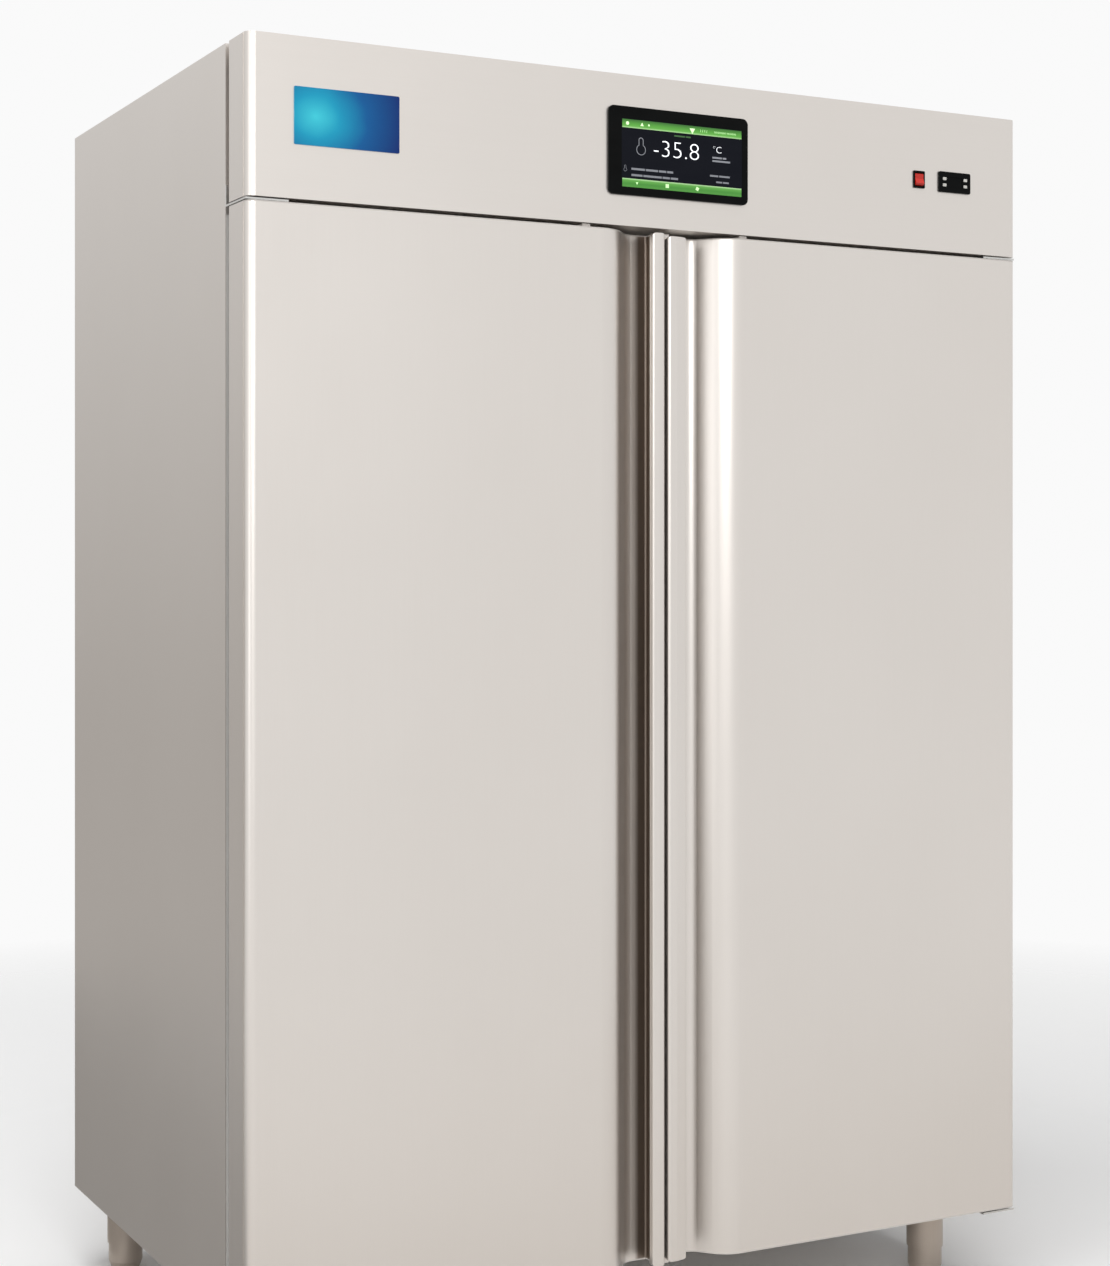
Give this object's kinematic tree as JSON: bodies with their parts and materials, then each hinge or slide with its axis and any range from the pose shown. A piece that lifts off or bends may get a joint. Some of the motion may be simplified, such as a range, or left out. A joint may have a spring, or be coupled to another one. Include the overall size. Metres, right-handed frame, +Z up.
{
  "type": "upright laboratory freezer",
  "caption": "Double-door upright laboratory freezer on legs: insulated cabinet, full-height edge pulls, lift-up fascia with touch screen over a top-mounted condensing unit.",
  "frame": {"origin": "on the floor, under the centre of the object's box", "axes": "+Z up, +X to the right seen from the front, +Y from the doors towards the back"},
  "size_m": [1.44, 0.945, 2.083],
  "materials": {
    "brushed_side": "satin brushed stainless sheet, side grain",
    "brushed_front": "satin brushed stainless sheet",
    "foam": "rigid polyurethane foam, closed cell",
    "liner_steel": "bright stainless liner",
    "frame_plastic": "light grey moulded frame",
    "leg_steel": "satin stainless tube",
    "galvanised": "galvanised sheet",
    "compressor_black": "black enamel",
    "mount_rubber": "black rubber",
    "fin_aluminium": "aluminium fins on copper tube",
    "fan_plastic": "black moulded fan",
    "motor_grey": "dark grey enamel",
    "receiver_paint": "black enamel tank",
    "drier_paint": "blue enamel",
    "copper": "copper tube",
    "box_plastic": "grey moulded box",
    "gland_plastic": "black moulded gland",
    "wire_coat": "plastic-coated wire",
    "gasket_rubber": "grey magnetic gasket",
    "cap_plastic": "white moulded cap",
    "plate_blue": "bare plate, teal to deep blue",
    "bezel_black": "glossy black bezel",
    "display": "lit display behind glass",
    "rocker_red": "translucent red rocker",
    "key_white": "pale key",
    "hinge_steel": "polished steel"
  },
  "bodies": {
    "cabinet": {"outer_casing": "brushed_side", "foam_insulation": "foam", "inner_liner": "liner_steel", "front_frame": "frame_plastic", "center_mullion": "liner_steel", "leg_tubes": "leg_steel", "machine_casing": "brushed_side", "machine_back_grille": "galvanised", "unit_tray": "galvanised", "compressor": "compressor_black", "compressor_mounts": "mount_rubber", "condenser_coil": "fin_aluminium", "fan_shroud": "galvanised", "condenser_fan_motor": "motor_grey", "liquid_receiver": "receiver_paint", "filter_drier": "drier_paint", "refrigerant_pipes": "copper", "electrical_box": "box_plastic", "cable_gland": "gland_plastic", "evaporator_coil": "fin_aluminium", "evaporator_cover": "liner_steel", "evaporator_fan_motors": "motor_grey", "drip_tray": "liner_steel", "shelf_pilasters": "liner_steel", "shelf_runners": "liner_steel", "left_shelves": "wire_coat", "right_shelves": "wire_coat", "door_hinge_brackets": "hinge_steel", "fascia_hinges": "hinge_steel"},
    "left_door": {"left_door_skin": "brushed_front", "left_door_foam": "foam", "left_door_liner": "liner_steel", "left_door_gasket": "gasket_rubber", "left_door_pull": "brushed_front", "left_door_end_caps": "cap_plastic"},
    "right_door": {"right_door_skin": "brushed_front", "right_door_foam": "foam", "right_door_liner": "liner_steel", "right_door_gasket": "gasket_rubber", "right_door_pull": "brushed_front", "right_door_end_caps": "cap_plastic"},
    "fascia": {"fascia_panel": "brushed_front", "name_plate": "plate_blue", "screen_bezel": "bezel_black", "touchscreen": "display", "rocker_bezel": "bezel_black", "controller_housing": "bezel_black"},
    "rocker": {"power_rocker": "rocker_red"},
    "condenser_fan": {"condenser_fan": "fan_plastic"},
    "left_evaporator_fan": {"left_evaporator_fan": "fan_plastic"},
    "right_evaporator_fan": {"right_evaporator_fan": "fan_plastic"},
    "set_key": {"set_key": "key_white"},
    "defrost_key": {"defrost_key": "key_white"},
    "up_key": {"up_key": "key_white"},
    "down_key": {"down_key": "key_white"},
    "front_left_foot": {"front_left_foot": "leg_steel"},
    "front_right_foot": {"front_right_foot": "leg_steel"},
    "rear_left_foot": {"rear_left_foot": "leg_steel"},
    "rear_right_foot": {"rear_right_foot": "leg_steel"}
  },
  "joints": [
    {"name": "left_door_hinge", "type": "hinge", "parent": "cabinet", "child": "left_door", "pos_m": [-0.698, -0.4455, 0.9915], "axis": [0, 0, -1], "range_deg": [0, 110]},
    {"name": "right_door_hinge", "type": "hinge", "parent": "cabinet", "child": "right_door", "pos_m": [0.698, -0.4455, 0.9915], "axis": [0, 0, 1], "range_deg": [0, 110]},
    {"name": "fascia_hinge", "type": "hinge", "parent": "cabinet", "child": "fascia", "pos_m": [0, -0.3805, 2.077], "axis": [-1, 0, 0], "range_deg": [0, 80]},
    {"name": "rocker_tilt", "type": "hinge", "parent": "fascia", "child": "rocker", "pos_m": [0.506, -0.46333, 1.9605], "axis": [1, 0, 0], "range_deg": [0, 20]},
    {"name": "condenser_fan_spin", "type": "hinge", "parent": "cabinet", "child": "condenser_fan", "pos_m": [-0.06, -0.221, 1.934], "axis": [0, 1, 0], "continuous": true},
    {"name": "left_evaporator_fan_spin", "type": "hinge", "parent": "cabinet", "child": "left_evaporator_fan", "pos_m": [-0.28, 0.06, 1.652], "axis": [0, 1, 0], "continuous": true},
    {"name": "right_evaporator_fan_spin", "type": "hinge", "parent": "cabinet", "child": "right_evaporator_fan", "pos_m": [0.28, 0.06, 1.652], "axis": [0, 1, 0], "continuous": true},
    {"name": "set_key_press", "type": "slide", "parent": "fascia", "child": "set_key", "axis": [0, 1, 0], "range_m": [0, 0.0008], "stiffness_N_per_m": 400},
    {"name": "defrost_key_press", "type": "slide", "parent": "fascia", "child": "defrost_key", "axis": [0, 1, 0], "range_m": [0, 0.0008], "stiffness_N_per_m": 400},
    {"name": "up_key_press", "type": "slide", "parent": "fascia", "child": "up_key", "axis": [0, 1, 0], "range_m": [0, 0.0008], "stiffness_N_per_m": 400},
    {"name": "down_key_press", "type": "slide", "parent": "fascia", "child": "down_key", "axis": [0, 1, 0], "range_m": [0, 0.0008], "stiffness_N_per_m": 400},
    {"name": "front_left_foot_screw", "type": "slide", "parent": "cabinet", "child": "front_left_foot", "axis": [0, 0, -1], "range_m": [0, 0.03]},
    {"name": "front_right_foot_screw", "type": "slide", "parent": "cabinet", "child": "front_right_foot", "axis": [0, 0, -1], "range_m": [0, 0.03]},
    {"name": "rear_left_foot_screw", "type": "slide", "parent": "cabinet", "child": "rear_left_foot", "axis": [0, 0, -1], "range_m": [0, 0.03]},
    {"name": "rear_right_foot_screw", "type": "slide", "parent": "cabinet", "child": "rear_right_foot", "axis": [0, 0, -1], "range_m": [0, 0.03]}
  ]
}
